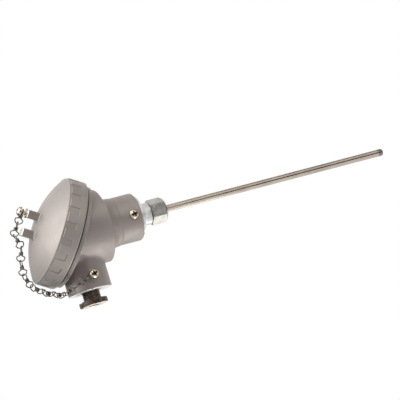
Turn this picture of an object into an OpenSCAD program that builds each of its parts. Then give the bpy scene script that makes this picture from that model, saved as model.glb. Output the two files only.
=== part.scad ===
// Resistance thermometer probe with a cast connection head.
// The neck and the sheath share the Z axis and the sheath points down. The origin lies on
// that axis where the sheath leaves the fitting nut. The cable entry points along -X, and
// the screw lid leans towards +X.

/* [Sheath] */
// Outer diameter of the metal sheath
sheath_d = 6; // [4:0.5:6.5]
// Length of sheath below the fitting nut
sheath_length = 204; // [60:1:600]
// Wall of the sheath tube
sheath_wall = 0.6; // [0.4:0.1:0.8]
// Rounding radius of the closed tip
tip_round = 1.6; // [0.5:0.1:1.9]
// Length of the sensing element in the tip
element_length = 22; // [10:1:40]

/* [Compression fitting] */
// Width of the hexagonal nut across its flats
nut_flats = 19; // [18:0.5:22]
// Height of the nut's hexagon
nut_height = 14.4; // [10:0.2:20]
// Diameter of the nut's threaded shank
nut_shank_d = 13; // [12:0.2:14]
// Length of the nut's threaded shank
nut_shank_length = 8.4; // [6:0.2:9]
// Outer diameter of the fitting's round barrel
barrel_d = 18.6; // [17:0.2:20]
// Length of the barrel between the nut and its collar
barrel_length = 7.6; // [6:0.2:14]
// Diameter of the fitting's collar
collar_d = 24; // [22:1:30]
// Thickness of the fitting's collar
collar_thickness = 2; // [1.6:0.2:5]
// Diameter of the bright washer under the neck
neck_washer_d = 33; // [31:1:38]
// Thickness of the bright washer under the neck
neck_washer_thickness = 2.9; // [1:0.1:4]
// Diameter of the stem that enters the neck
stem_d = 20; // [16:0.5:22]
// Length of the stem inside the neck
stem_length = 16; // [13:1:18]

/* [Head casting] */
// Outer diameter of the neck
neck_d = 40; // [36:1:44]
// Length of the straight neck
neck_length = 19; // [18:0.5:24]
// Outer diameter of the round bowl
bowl_d = 61; // [58:1:66]
// Height from the neck's end up to the bowl's lower edge
bowl_drop = 31.8; // [30:0.2:38]
// Wall of the bowl
bowl_wall = 3.5; // [2.5:0.5:4]
// Thickness of the bowl's floor
floor_thickness = 3.6; // [3:0.2:5]
// Height of the lid's centre above the neck's end
lid_rise_from_neck = 59.8; // [58:0.2:66]
// Shift of the lid's centre from the neck's axis, towards the cable entry
lid_shift = 1.8; // [0:0.2:3]
// Lean of the lid away from the neck's axis
lid_tilt = 31; // [24:1:34]
// Step from the lid's rim in to the edge of the flange under it
flange_step = 2.7; // [1:0.1:4]
// Thickness of the flange
flange_thickness = 3.8; // [3:0.2:5]
// Thickness of the lid's rim outside the threaded collar
rim_wall = 4.8; // [4:0.1:6]
// Height of the threaded collar above the flange
thread_height = 10.8; // [9:0.2:11]
// Wall of the threaded collar
collar_wall = 5.9; // [4:0.1:7]
// Outer diameter of the cable entry boss
boss_d = 37; // [32:1:40]
// Height of the boss axis above the neck's end
boss_rise = 56.2; // [52:0.2:58]
// Distance from the neck's axis to the boss end
boss_reach = 50.7; // [48:0.5:56]

/* [Lid] */
// Outer diameter of the lid rim
rim_d = 91.4; // [90:0.2:98]
// Height of the rim
rim_height = 15.8; // [15:0.2:20]
// Height of the dome above the rim
dome_height = 14.4; // [12:0.2:20]
// Wall of the lid
lid_wall = 3.6; // [2.5:0.1:5]
// Number of grip pads round the rim
grip_count = 21; // [12:1:30]
// Height of the grip pads
grip_height = 8.6; // [5:0.2:10]
// Depth of the grooves between the grip pads
grip_depth = 0.8; // [0.3:0.1:1.2]
// Thickness of each spanner lug
lug_thickness = 6.6; // [6:0.2:8]
// Length of each spanner lug
lug_length = 15.6; // [12:0.2:20]
// Distance between the centres of the two lugs
lug_pitch = 15.6; // [14.5:0.1:20]
// Turn of the two lugs about the lid's axis when the lid is screwed home
lug_turn = -13; // [-20:1:20]
// Height of the lugs above the dome
lug_height = 9.4; // [6:0.2:12]
// Thickness of the flat lid gasket
gasket_thickness = 1; // [0.8:0.1:2]

/* [Retaining chain] */
// Diameter of the chain wire
wire_d = 0.95; // [0.7:0.05:1]
// Width of each wire loop
loop_width = 6.8; // [6.2:0.1:7.4]
// Number of chain links
link_count = 12; // [12:1:13]
// Thread diameter of the two screws that hold the chain
chain_screw_d = 3.5; // [3:0.5:4]

/* [Cable gland] */
// Diameter of the gland screw's stem
gland_stem_d = 15; // [14:0.5:16]
// Diameter of the hole for the cable
cable_hole_d = 9.6; // [8:0.2:10]
// Length of the gland stem inside the boss
gland_engaged = 10; // [8:0.5:11]
// Length of the gland stem outside the boss
gland_standoff = 7; // [2:0.5:9]
// Width of the lobed grip over its lobes
gland_grip_d = 24; // [22:0.5:28]
// Thickness of the lobed grip
gland_grip_thickness = 4.6; // [3:0.2:7]
// Number of lobes on the grip
gland_lobes = 4; // [3:1:6]
// Thickness of the pressure washer in the gland
gland_washer_thickness = 1.2; // [1:0.1:2]
// Length of the rubber sealing ring in the gland
grommet_length = 6.5; // [4:0.5:7]

/* [Terminals] */
// Diameter of the ceramic terminal block
block_d = 42; // [40:0.5:42]
// Height of the ceramic terminal block
block_height = 8; // [7:0.5:10]
// Distance between the two screws that hold the block
block_screw_pitch = 33; // [31:0.5:33]
// Diameter of the hole in the middle of the block
block_hole_d = 9; // [7:0.5:9.5]
// Distance from the middle to the centre of each terminal
terminal_radius = 12.5; // [12:0.1:13]
// Diameter of an insulated lead wire
lead_d = 1.5; // [1:0.1:1.6]

/* [Hidden] */
$fn = 96;

// A sliver that carries a cut past a face
over = 0.5;
// Gap between turned pieces that move on each other
play = 0.3;
// Gap round a screw in its hole
screw_play = 0.1;
// Bevel on cast and turned edges
bevel = 0.6;

// Heights along the neck's axis, from the nut's lower face upwards
collar_z = nut_height + barrel_length;
washer_z = collar_z + collar_thickness;
neck_z = washer_z + neck_washer_thickness;
shoulder_z = neck_z + neck_length;
bowl_z = neck_z + bowl_drop;
floor_z = bowl_z + floor_thickness;
boss_z = neck_z + boss_rise;
lid_z = neck_z + lid_rise_from_neck;
stem_top_z = neck_z + stem_length;
block_top_z = floor_z + block_height;

// Heights along the lid's axis, from the middle of the gasket upwards
flange_top = -gasket_thickness / 2;
flange_bottom = flange_top - flange_thickness;
thread_top = flange_top + thread_height;
ledge = flange_top - 0.5;
rim_bottom = gasket_thickness / 2;
rim_top = rim_bottom + rim_height;
dome_top = rim_top + dome_height;
lug_top = dome_top + lug_height;
skirt_depth = thread_height + 0.8;

// Radii
rim_r = rim_d / 2;
thread_r = rim_r - rim_wall;
mouth_r = thread_r - collar_wall;
flange_r = rim_r - flange_step;
bowl_r = bowl_d / 2;
chamber_r = bowl_r - bowl_wall;
sheath_r = sheath_d / 2;
grip_top = rim_top - 1.4;

// The dome's edge stands back from the grip pads, and a sphere runs through it and the apex
dome_edge_r = rim_r - grip_depth;
dome_sphere_r = (dome_edge_r * dome_edge_r + dome_height * dome_height) / (2 * dome_height);

// The grip grooves stop this much short of the dome's edge
groove_stand_off = 0.05;

// The gasket lies back from the rim's edge, clear of the thread, and just under the lid
gasket_inset = 1.8;
gasket_play = 0.8;
seat_play = 0.03;

// Screws: the neck's set screw, the terminals' screws, the block's and the earth screw
neck_screw_d = 4;
terminal_screw_d = 2.5;
terminal_head_d = 4.2;
terminal_head_height = 1.8;
terminal_grip = 2.2;
block_screw_d = 4;
block_screw_head_d = 6.6;
block_screw_depth = 3;
earth_screw_d = 2.5;

// Chain screws
chain_head_d = 2.2 * chain_screw_d;
washer_thickness = 0.8;
eye_room = wire_d + 2;
lug_eye_room = 4.2;
lug_screw_depth = 7;
anchor_screw_depth = 7;
anchor_washer_seat = 0.05;
lug_screw_gap = washer_thickness + lug_eye_room;
chain_screw_x = -(boss_reach - 11.7);
anchor_y = -boss_d / 2;
wire_r = wire_d / 2;

// Fitting
ferrule_length = 5;
thrust_thickness = 1;
socket_d = nut_shank_d + 2 * play;
thrust_z = nut_height + nut_shank_length;
ferrule_z = thrust_z + thrust_thickness;
inner_sheath_r = sheath_r - 0.2;
sheath_top_z = stem_top_z + 4;
sleeve_r = sheath_r + 1.6;
sleeve_bottom_z = stem_top_z + 0.4;
sleeve_top_z = bowl_z - 1;
lead_spread = lead_d * 0.8;
element_d = 2.8;

// Gland
gland_bore_d = gland_stem_d + 2 * play;
gland_stop_x = -(boss_reach - gland_engaged);
gland_washer_x = gland_stop_x + gland_washer_thickness;
grommet_x = gland_washer_x + grommet_length;

// Terminals stand round the block, clear of its two screws on the Y axis
terminal_angles = [0, 140, 220];
terminal_size = [10, 6, 7];
pocket_depth = 2;
terminal_z = block_top_z - pocket_depth;
terminal_screw_offset = 2.6;
lead_hole_z = terminal_z + 4.6;
earth_radius = (block_d / 2 + chamber_r) / 2;

// Stands its children on the lid's axis, with the gasket's middle at height zero
module on_lid_axis() {
    translate([-lid_shift, 0, lid_z])
        rotate([0, lid_tilt, 0])
            children();
}

// Lays its children along the boss axis: their +Z points out of the cable entry
module on_boss_axis() {
    translate([0, 0, boss_z])
        rotate([0, -90, 0])
            children();
}

// A point given along the lid's axes, in the frame of the whole probe
function from_lid(p) = [
    cos(lid_tilt) * p.x + sin(lid_tilt) * p.z - lid_shift,
    p.y,
    lid_z - sin(lid_tilt) * p.x + cos(lid_tilt) * p.z
];

// A point given in the frame of the whole probe, along the lid's axes
function to_lid(p) = [
    cos(lid_tilt) * (p.x + lid_shift) - sin(lid_tilt) * (p.z - lid_z),
    p.y,
    sin(lid_tilt) * (p.x + lid_shift) + cos(lid_tilt) * (p.z - lid_z)
];

// Height of the dome's outside at a distance from the lid's axis
function dome_at(r) = dome_top - dome_sphere_r + sqrt(dome_sphere_r * dome_sphere_r - r * r);

function unit(v) = v / norm(v);

// Catmull-Rom curve through a list of points: t counts whole points
function curve_at(p, t) =
    let (
        last = len(p) - 1,
        i = min(floor(t), last - 1),
        f = t - i,
        a = p[max(i - 1, 0)],
        b = p[i],
        c = p[i + 1],
        d = p[min(i + 2, last)]
    )
    0.5 * (2 * b + (c - a) * f + (2 * a - 5 * b + 4 * c - d) * f * f
        + (3 * b - a - 3 * c + d) * f * f * f);

// Points every small step along the curve, and the length run up to each
function curve_points(p, steps) = [
    for (k = [0:steps]) curve_at(p, (len(p) - 1) * k / steps)
];
function run_lengths(q) = [
    for (k = 0, s = 0; k < len(q); s = s + (k + 1 < len(q) ? norm(q[k + 1] - q[k]) : 0), k = k + 1) s
];

// The point at a given length along a fine polyline
function at_length(q, s, target) =
    let (
        k = min(max(len([for (v = s) if (v <= target) 1]) - 1, 0), len(q) - 2),
        f = (target - s[k]) / (s[k + 1] - s[k])
    )
    q[k] + (q[k + 1] - q[k]) * f;

// Points of a ring of the given radius about a point, across a direction
function ring(centre, along, hint, r, sides) =
    let (
        t = unit(along),
        u = unit(hint - (hint * t) * t),
        v = cross(t, u)
    )
    [for (k = [0:sides - 1]) centre + r * (cos(360 * k / sides) * u + sin(360 * k / sides) * v)];

// A solid skin over rings of points, closed into a loop or capped at both ends
module skin(rings, closed) {
    n = len(rings);
    m = len(rings[0]);
    points = [for (r = rings) each r];
    sides = [
        for (i = [0:closed ? n - 1 : n - 2])
            for (j = [0:m - 1])
                let (i2 = (i + 1) % n, j2 = (j + 1) % m)
                each [[i * m + j, i2 * m + j2, i * m + j2], [i * m + j, i2 * m + j, i2 * m + j2]]
    ];
    caps = closed ? [] : [
        [for (j = [0:m - 1]) j],
        [for (j = [m - 1:-1:0]) (n - 1) * m + j]
    ];
    polyhedron(points = points, faces = concat(sides, caps), convexity = 6);
}

// A screw with a domed cross-slot head. Its seat is at height zero and its shank hangs below
module pan_screw(d, length, head_d, head_height, slot = true) {
    rim = 0.35 * head_height;
    difference() {
        union() {
            rotate_extrude()
                intersection() {
                    translate([0, rim - (pow(head_d / 2, 2) - pow(head_height - rim, 2))
                        / (2 * (head_height - rim))])
                        circle(r = (pow(head_d / 2, 2) + pow(head_height - rim, 2))
                            / (2 * (head_height - rim)), $fn = 128);
                    square([head_d / 2, head_height]);
                }
            translate([0, 0, -length])
                cylinder(d = d, h = length + 0.01);
        }
        if (slot)
            cross_slot(head_d, head_height);
    }
}

// The cross recess in a screw head
module cross_slot(head_d, head_height) {
    for (turn = [0, 90])
        rotate(turn)
            translate([-head_d * 0.36, -head_d * 0.07, head_height * 0.5])
                cube([head_d * 0.72, head_d * 0.14, head_height]);
}

// A flat round washer on the plane at height zero
module washer(outer_d, inner_d, thickness) {
    difference() {
        cylinder(d = outer_d, h = thickness);
        translate([0, 0, -over])
            cylinder(d = inner_d, h = thickness + 2 * over);
    }
}

// A rectangle with round corners
module round_rectangle(w, l, r) {
    square([w - 2 * r, l], center = true);
    square([w, l - 2 * r], center = true);
    for (x = [-1, 1])
        for (y = [-1, 1])
            translate([x * (w / 2 - r), y * (l / 2 - r)])
                circle(r = r, $fn = 32);
}

// Outside of the neck, the hollow-curved shoulder and the bowl, up to the slanted flange
module bowl_outside() {
    shoulder_r = bowl_r - neck_d / 2;
    intersection() {
        rotate_extrude()
            difference() {
                polygon([
                    [0, neck_z],
                    [neck_d / 2 - bevel, neck_z],
                    [neck_d / 2, neck_z + bevel],
                    [neck_d / 2, shoulder_z],
                    [neck_d / 2 + 0.5, shoulder_z + 0.5],
                    [bowl_r - 0.3, bowl_z],
                    [bowl_r, bowl_z + 0.3],
                    [bowl_r, lid_z + bowl_r],
                    [0, lid_z + bowl_r]
                ]);
                translate([neck_d / 2 + 0.5 + shoulder_r, bowl_z - shoulder_r])
                    circle(r = shoulder_r);
            }
        on_lid_axis()
            translate([0, 0, flange_bottom + 0.2 - 3 * rim_d])
                cylinder(d = 3 * rim_d, h = 3 * rim_d);
    }
}

// The cast head: neck, bowl, cable entry boss, flange and threaded collar in one piece
module head_body() {
    color("#9c958f")
    difference() {
        union() {
            bowl_outside();
            on_boss_axis()
                rotate_extrude()
                    polygon([
                        [0, chamber_r],
                        [boss_d / 2, chamber_r],
                        [boss_d / 2, boss_reach - bevel],
                        [boss_d / 2 - bevel, boss_reach],
                        [0, boss_reach]
                    ]);
            on_lid_axis()
                rotate_extrude()
                    polygon([
                        [0, flange_bottom],
                        [flange_r - bevel, flange_bottom],
                        [flange_r, flange_bottom + bevel],
                        [flange_r, flange_top - bevel],
                        [flange_r - bevel, flange_top],
                        [thread_r, flange_top],
                        [thread_r, thread_top - bevel],
                        [thread_r - bevel, thread_top],
                        [0, thread_top]
                    ]);
        }
        // The wiring chamber under the slanted mouth
        intersection() {
            translate([0, 0, floor_z])
                cylinder(r = chamber_r, h = lid_z);
            on_lid_axis()
                translate([0, 0, ledge + over - 3 * rim_d])
                    cylinder(d = 3 * rim_d, h = 3 * rim_d);
        }
        on_lid_axis()
            translate([0, 0, ledge])
                cylinder(r = mouth_r, h = thread_height + 2);
        // Bore for the fitting's stem, and the hole for the leads above it
        translate([0, 0, neck_z - over])
            cylinder(d = stem_d + 2 * screw_play, h = stem_length + 0.4 + over);
        translate([0, 0, neck_z])
            cylinder(r = sleeve_r + 1, h = bowl_drop + floor_thickness + over);
        // Stepped bore of the cable entry
        on_boss_axis() {
            translate([0, 0, -grommet_x])
                cylinder(d = gland_bore_d, h = boss_reach + grommet_x + over);
            cylinder(d = cable_hole_d + 1.4, h = boss_reach);
        }
        neck_screw_axis()
            translate([0, 0, -neck_d / 2])
                cylinder(d = neck_screw_d + 2 * screw_play, h = neck_d / 2 + over);
        chain_anchor_axis()
            translate([0, 0, -anchor_screw_depth - 0.5])
                cylinder(d = chain_screw_d + 2 * screw_play, h = anchor_screw_depth + 0.5 + over);
        for (side = [-1, 1])
            translate([0, side * block_screw_pitch / 2, floor_z - block_screw_depth])
                cylinder(d = block_screw_d + 2 * screw_play, h = block_screw_depth + over);
        translate([earth_radius, 0, floor_z - block_screw_depth])
            cylinder(d = earth_screw_d + 2 * screw_play, h = block_screw_depth + over);
    }
}

// The domed screw lid with its grip pads and two spanner lugs
module lid() {
    inner_r = thread_r + play;
    color("#b5aeaa")
    on_lid_axis()
        difference() {
            union() {
                rotate_extrude()
                    intersection() {
                        translate([0, dome_top - dome_sphere_r])
                            circle(r = dome_sphere_r, $fn = 360);
                        polygon([
                            [0, rim_bottom],
                            [rim_r - 1, rim_bottom],
                            [rim_r, rim_bottom + 1],
                            [rim_r, grip_top],
                            [dome_edge_r, grip_top],
                            [dome_edge_r, dome_top + 1],
                            [0, dome_top + 1]
                        ]);
                    }
                for (side = [-1, 1])
                    rotate(lug_turn)
                        translate([side * lug_pitch / 2, 0, rim_top])
                            linear_extrude(lug_top - rim_top)
                                round_rectangle(lug_thickness, lug_length, 0.6);
            }
            // Grooves that leave the grip pads standing
            for (i = [0:grip_count - 1])
                rotate(360 * (i + 0.5) / grip_count)
                    translate([dome_edge_r + groove_stand_off, 0, grip_top - grip_height])
                        grip_groove();
            // Threaded skirt, a shoulder above it, and the hollow of the dome
            translate([0, 0, rim_bottom - over])
                cylinder(r = inner_r, h = skirt_depth + over);
            rotate_extrude()
                intersection() {
                    translate([0, dome_top - dome_sphere_r])
                        circle(r = dome_sphere_r - lid_wall, $fn = 360);
                    square([inner_r - 1.5, dome_top]);
                }
            lug_screw_axis()
                translate([0, 0, -lug_screw_depth - 0.5])
                    cylinder(d = chain_screw_d + 2 * screw_play, h = lug_screw_depth + 0.5 + over);
        }
}

// One upright groove in the rim, open above the grip pads
module grip_groove() {
    groove_w = PI * rim_d / grip_count * 0.42;
    translate([0, -groove_w / 2, 0])
        cube([grip_depth + over, groove_w, grip_height + over]);
}

// The flat rubber ring between the flange and the lid
module lid_gasket() {
    color("#2b2b2b")
    on_lid_axis()
        translate([0, 0, flange_top])
            washer(2 * (rim_r - gasket_inset), 2 * (thread_r + gasket_play),
                gasket_thickness - seat_play);
}

module lug_screw_axis() {
    rotate(lug_turn)
        translate([lug_pitch / 2, 0, lug_top])
            children();
}

// The screw that holds the chain's upper end on top of a lug
module lug_screw() {
    color("#c9bfa8")
    on_lid_axis()
        lug_screw_axis()
            translate([0, 0, lug_screw_gap + washer_thickness])
                pan_screw(chain_screw_d, lug_screw_depth + lug_screw_gap + washer_thickness,
                    chain_head_d, 2.6);
}

// Washers under and over the chain's first loop
module lug_washers() {
    color("#b9b4ac")
    on_lid_axis()
        lug_screw_axis()
            for (z = [0, lug_screw_gap])
                translate([0, 0, z])
                    washer(chain_head_d + 0.6, chain_screw_d + 2 * screw_play, washer_thickness);
}

module chain_anchor_axis() {
    translate([chain_screw_x, anchor_y, boss_z])
        rotate([90, 0, 0])
            children();
}

// The screw that holds the chain's lower end on the boss
module chain_anchor_screw() {
    color("#d4c29a")
    chain_anchor_axis()
        translate([0, 0, anchor_washer_seat + washer_thickness + eye_room])
            pan_screw(chain_screw_d, anchor_screw_depth + anchor_washer_seat + washer_thickness
                + eye_room, chain_head_d, 2.6);
}

// The washer between the boss and the chain's last loop
module chain_anchor_washer() {
    color("#b9b4ac")
    chain_anchor_axis()
        translate([0, 0, anchor_washer_seat])
            washer(chain_head_d + 0.6, chain_screw_d + 2 * screw_play, washer_thickness);
}

// Height of the chain's first loop on the lug screw, and of its last on the anchor screw
first_eye = lug_top + washer_thickness + 0.56 * lug_eye_room;
last_eye = anchor_y - anchor_washer_seat - washer_thickness - eye_room / 2;

// How far the chain runs on past a screw's axis, so that its end loop hooks round the shank
link_overlap = wire_d + 0.25;
eye_hook = chain_screw_d / 2 + 0.4 + wire_r - link_overlap / 2;

// Where the chain lies, along the lid's axes: over the lower lug, down the dome on the side
// of the cable entry, round the rim and across to the boss, standing off by shares of a loop
function beside_lugs(p) =
    [cos(lug_turn) * p.x - sin(lug_turn) * p.y, sin(lug_turn) * p.x + cos(lug_turn) * p.y, p.z];
function beside_lid(r, turn, h) = [-r * cos(turn), r * sin(turn), h];
anchor_point = to_lid([chain_screw_x, last_eye, boss_z]);
chain_route = [
    beside_lugs([lug_pitch / 2 + eye_hook, 0, first_eye]),
    beside_lugs([-0.15 * loop_width, 0.09 * loop_width, first_eye + 0.15 * loop_width]),
    beside_lugs([-lug_pitch / 2 - 0.29 * loop_width, 0.56 * loop_width,
        lug_top + 0.91 * loop_width]),
    beside_lid(lug_pitch / 2 + 1.25 * loop_width, 26, dome_top + 1.09 * loop_width),
    beside_lid(0.547 * rim_r, 25, dome_at(0.547 * rim_r) + 0.88 * loop_width),
    beside_lid(0.766 * rim_r, 23, dome_at(0.766 * rim_r) + 1.32 * loop_width),
    beside_lid(rim_r - 0.15 * loop_width, 19, rim_top + 1.03 * loop_width),
    beside_lid(rim_r + 0.71 * loop_width, 13, rim_top - 0.22 * loop_width),
    beside_lid(rim_r + 0.74 * loop_width, 6, rim_top - 1.32 * loop_width),
    beside_lid(rim_r + 0.88 * loop_width, -2, rim_bottom + 0.29 * loop_width),
    beside_lid(rim_r + 1.18 * loop_width, -10, -0.51 * loop_width),
    beside_lid(rim_r + 1.03 * loop_width, -18, -1.03 * loop_width),
    anchor_point + loop_width * [-2.2, -0.28, 1.84],
    anchor_point + loop_width * [-1.03, -0.16, 0.88],
    anchor_point + eye_hook * unit([7, 0.9, -6])
];
chain_fine = curve_points(chain_route, 240);
chain_runs = run_lengths(chain_fine);
chain_length = chain_runs[len(chain_runs) - 1];
link_pitch = chain_length / link_count;

// One link is a single wire: two loops at right angles, twisted together between them
link_half = (link_pitch + link_overlap) / 2;
loop_centre = link_half - loop_width / 2;
waist = wire_r * 1.3;
link_twist = 270;
strand_steps = 9;
arc_steps = 7;

// Half width of the link at a distance along it, and the turn of its strands there
function link_half_width(a) =
    let (f = min(max((abs(a) / loop_centre - 0.3) / 0.7, 0), 1))
    waist + (loop_width / 2 - waist) * sin(90 * f) * sin(90 * f);
function link_turn(a) = link_twist * min(max(a / loop_centre / 0.6 + 0.5, 0), 1);

// Points of the wire as [along the link, across it, direction across, outward hint]
function strand(side) = [
    for (k = [0:strand_steps - 1])
        let (a = side * loop_centre * (2 * k / (strand_steps - 1) - 1))
        [a, side * link_half_width(a), link_turn(a), [0, side]]
];
function end_arc(side) = [
    for (k = [1:arc_steps])
        let (psi = side * (90 - 180 * k / (arc_steps + 1)))
        [
            side * (loop_centre + loop_width / 2 * cos(psi)),
            loop_width / 2 * sin(psi),
            side > 0 ? link_twist : 0,
            [side * cos(psi), sin(psi)]
        ]
];
function link_wire() = concat(strand(1), end_arc(1), strand(-1), end_arc(-1));

// A vector along and across a link, turned about the link's own direction
function across(along, e1, e2, a, w, turn) = a * along + w * (cos(turn) * e1 + sin(turn) * e2);

// One link between two points of the route
module chain_link(from, to, away, roll) {
    along = unit(to - from);
    side = unit(cross(along, away));
    up = cross(along, side);
    e1 = cos(roll) * side + sin(roll) * up;
    e2 = cross(along, e1);
    wire = link_wire();
    n = len(wire);
    centre = (from + to) / 2;
    line = [for (w = wire) centre + across(along, e1, e2, w[0], w[1], w[2])];
    rings = [
        for (i = [0:n - 1])
            ring(line[i], line[(i + 1) % n] - line[(i + n - 1) % n],
                across(along, e1, e2, wire[i][3][0], wire[i][3][1], wire[i][2]), wire_r, 6)
    ];
    skin(rings, true);
}

// The knotted wire chain that keeps the lid from being lost
module retaining_chain() {
    lid_up = from_lid([0, 0, 1]) - from_lid([0, 0, 0]);
    color("#8d8780")
    for (i = [0:link_count - 1])
        let (
            f = i / (link_count - 1),
            from = from_lid(at_length(chain_fine, chain_runs, i * link_pitch)),
            to = from_lid(at_length(chain_fine, chain_runs, (i + 1) * link_pitch))
        )
        chain_link(from, to, unit((1 - f) * lid_up + f * [0, -1, 0]), 90 * f);
}

module neck_screw_axis() {
    translate([0, -neck_d / 2, neck_z + 7.2])
        rotate([90, 0, 0])
            children();
}

// The screw in the neck that locks the fitting's stem
module neck_set_screw() {
    color("#c9b684")
    neck_screw_axis()
        translate([0, 0, 0.2])
            pan_screw(neck_screw_d, (neck_d - stem_d) / 2 + 0.1, 7.8, 2.4);
}

// The bright washer between the fitting's collar and the neck
module neck_washer() {
    color("#e6e6e2")
    translate([0, 0, washer_z])
        difference() {
            cylinder(d = neck_washer_d, h = neck_washer_thickness);
            translate([0, 0, -over])
                cylinder(d = stem_d + 2 * screw_play, h = neck_washer_thickness + 2 * over);
        }
}

// The turned fitting: barrel below, collar, and the stem that enters the neck
module fitting_body() {
    color("#d9d9d6")
    difference() {
        rotate_extrude()
            polygon([
                [0, nut_height],
                [barrel_d / 2 - bevel, nut_height],
                [barrel_d / 2, nut_height + bevel],
                [barrel_d / 2, collar_z],
                [collar_d / 2 - bevel, collar_z],
                [collar_d / 2, collar_z + bevel],
                [collar_d / 2, washer_z],
                [stem_d / 2, washer_z],
                [stem_d / 2, stem_top_z - bevel],
                [stem_d / 2 - bevel, stem_top_z],
                [0, stem_top_z]
            ]);
        translate([0, 0, nut_height - over])
            cylinder(d = socket_d, h = ferrule_z - nut_height + over);
        // The cone that squeezes the ferrule onto the sheath
        translate([0, 0, ferrule_z])
            rotate_extrude()
                polygon([
                    [0, -over],
                    [socket_d / 2, -over],
                    [socket_d / 2, 0],
                    [sheath_r + 0.3, ferrule_length + 1],
                    [0, ferrule_length + 1]
                ]);
        translate([0, 0, ferrule_z])
            cylinder(r = sheath_r + 0.1, h = stem_top_z);
    }
}

// The hexagonal nut with its threaded shank
module fitting_nut() {
    corner_r = nut_flats / 2 / cos(30);
    color("#cfccc4")
    difference() {
        union() {
            intersection() {
                cylinder(r = corner_r, h = nut_height, $fn = 6);
                rotate_extrude()
                    polygon([
                        [0, 0],
                        [nut_flats / 2 - 1.4, 0],
                        [corner_r, 2.4],
                        [corner_r, nut_height - 0.7],
                        [nut_flats / 2 + 0.2, nut_height],
                        [0, nut_height]
                    ]);
            }
            translate([0, 0, nut_height - 0.01])
                cylinder(d = nut_shank_d, h = nut_shank_length + 0.01);
        }
        translate([0, 0, -over])
            cylinder(r = sheath_r + play, h = thrust_z + 2 * over);
    }
}

// The loose ring that the nut's shank pushes
module thrust_washer() {
    color("#b8a878")
    translate([0, 0, thrust_z])
        washer(nut_shank_d, sheath_d + 2 * play, thrust_thickness);
}

// The brass ferrule that grips the sheath
module ferrule() {
    foot_r = socket_d / 2 - 0.15;
    tip_r = foot_r - (socket_d / 2 - sheath_r - 0.3) * ferrule_length / (ferrule_length + 1);
    color("#c8a64b")
    translate([0, 0, ferrule_z])
        difference() {
            cylinder(r1 = foot_r, r2 = tip_r, h = ferrule_length);
            translate([0, 0, -over])
                cylinder(r = inner_sheath_r + 0.05, h = ferrule_length + 2 * over);
        }
}

// The closed stainless steel tube
module probe_sheath() {
    tip_z = -sheath_length;
    color("#b3aca4")
    difference() {
        rotate_extrude()
            union() {
                polygon([
                    [0, tip_z],
                    [sheath_r - tip_round, tip_z],
                    [sheath_r - tip_round, tip_z + tip_round],
                    [sheath_r, tip_z + tip_round],
                    [sheath_r, 0],
                    [inner_sheath_r, 0],
                    [inner_sheath_r, sheath_top_z],
                    [0, sheath_top_z]
                ]);
                intersection() {
                    translate([sheath_r - tip_round, tip_z + tip_round])
                        circle(r = tip_round, $fn = 48);
                    translate([0, tip_z])
                        square([sheath_r, 2 * tip_round]);
                }
            }
        translate([0, 0, tip_z + 2 * sheath_wall])
            cylinder(r = sheath_r - sheath_wall, h = sheath_length + sheath_top_z);
    }
}

// The packed mineral powder in the tube, with the element's pocket at its lower end
module mineral_fill() {
    fill_bottom = -sheath_length + 2 * sheath_wall;
    color("#e8e4d8")
    difference() {
        translate([0, 0, fill_bottom])
            cylinder(r = sheath_r - sheath_wall - 0.02, h = sheath_top_z - fill_bottom);
        translate([0, 0, fill_bottom - over])
            cylinder(d = element_d + 0.04, h = element_length + over);
    }
}

// The platinum sensing element
module rtd_element() {
    color("#f2efe6")
    translate([0, 0, -sheath_length + 2 * sheath_wall])
        cylinder(d = element_d, h = element_length - 0.02);
}

// The sleeve that seals the top of the sheath and lets out the three leads
module transition_sleeve() {
    color("#a9a6a0")
    difference() {
        translate([0, 0, sleeve_bottom_z])
            cylinder(r = sleeve_r, h = sleeve_top_z - sleeve_bottom_z);
        translate([0, 0, sleeve_bottom_z - over])
            cylinder(r = inner_sheath_r + 0.05, h = sheath_top_z - sleeve_bottom_z + over);
    }
}

// One insulated lead, from the sleeve up through the block and out into its terminal
module lead_wire(index) {
    out = terminal_radius - terminal_size.x / 2;
    route = [
        [lead_spread, sleeve_top_z],
        [lead_spread, sleeve_top_z + 5],
        [lead_spread + 0.2, floor_z + 3],
        [lead_spread + 0.5, block_top_z - 0.5],
        [lead_spread + 1.6, lead_hole_z + 1.4],
        [out - 1.8, lead_hole_z + 0.5],
        [out + 0.9, lead_hole_z]
    ];
    fine = curve_points(route, 24);
    n = len(fine);
    line = [for (p = fine) [p.x, 0, p.y]];
    rings = [
        for (i = [0:n - 1])
            ring(line[i], i == 0 ? [0, 0, 1] : i == n - 1 ? [1, 0, 0] : line[i + 1] - line[i - 1],
                [0, 1, 0], lead_d / 2, 8)
    ];
    rotate(terminal_angles[index])
        skin(rings, false);
}
module lead_wire_1() color("#b0322a") lead_wire(0);
module lead_wire_2() color("#b0322a") lead_wire(1);
module lead_wire_3() color("#e9e6df") lead_wire(2);

// The ceramic block, with a pocket for each terminal and a wall beside each one
module terminal_block() {
    color("#ece8dc")
    difference() {
        union() {
            translate([0, 0, floor_z])
                cylinder(d = block_d, h = block_height);
            translate([0, 0, floor_z])
                cylinder(d = block_hole_d + 3.6, h = block_height + 1.2);
        }
        translate([0, 0, floor_z - over])
            cylinder(d = block_hole_d, h = block_height + 4);
        for (angle = terminal_angles)
            rotate(angle)
                translate([terminal_radius - terminal_size.x / 2 - 0.1,
                    -terminal_size.y / 2 - 0.1, terminal_z])
                    cube([terminal_size.x + 0.2, terminal_size.y + 0.2, terminal_size.z]);
        for (side = [-1, 1])
            translate([0, side * block_screw_pitch / 2, floor_z - over]) {
                cylinder(d = block_screw_d + 0.6, h = block_height + 2 * over);
                translate([0, 0, over + block_height - 3])
                    cylinder(d = block_screw_head_d + 0.6, h = 4);
            }
    }
}

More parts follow.
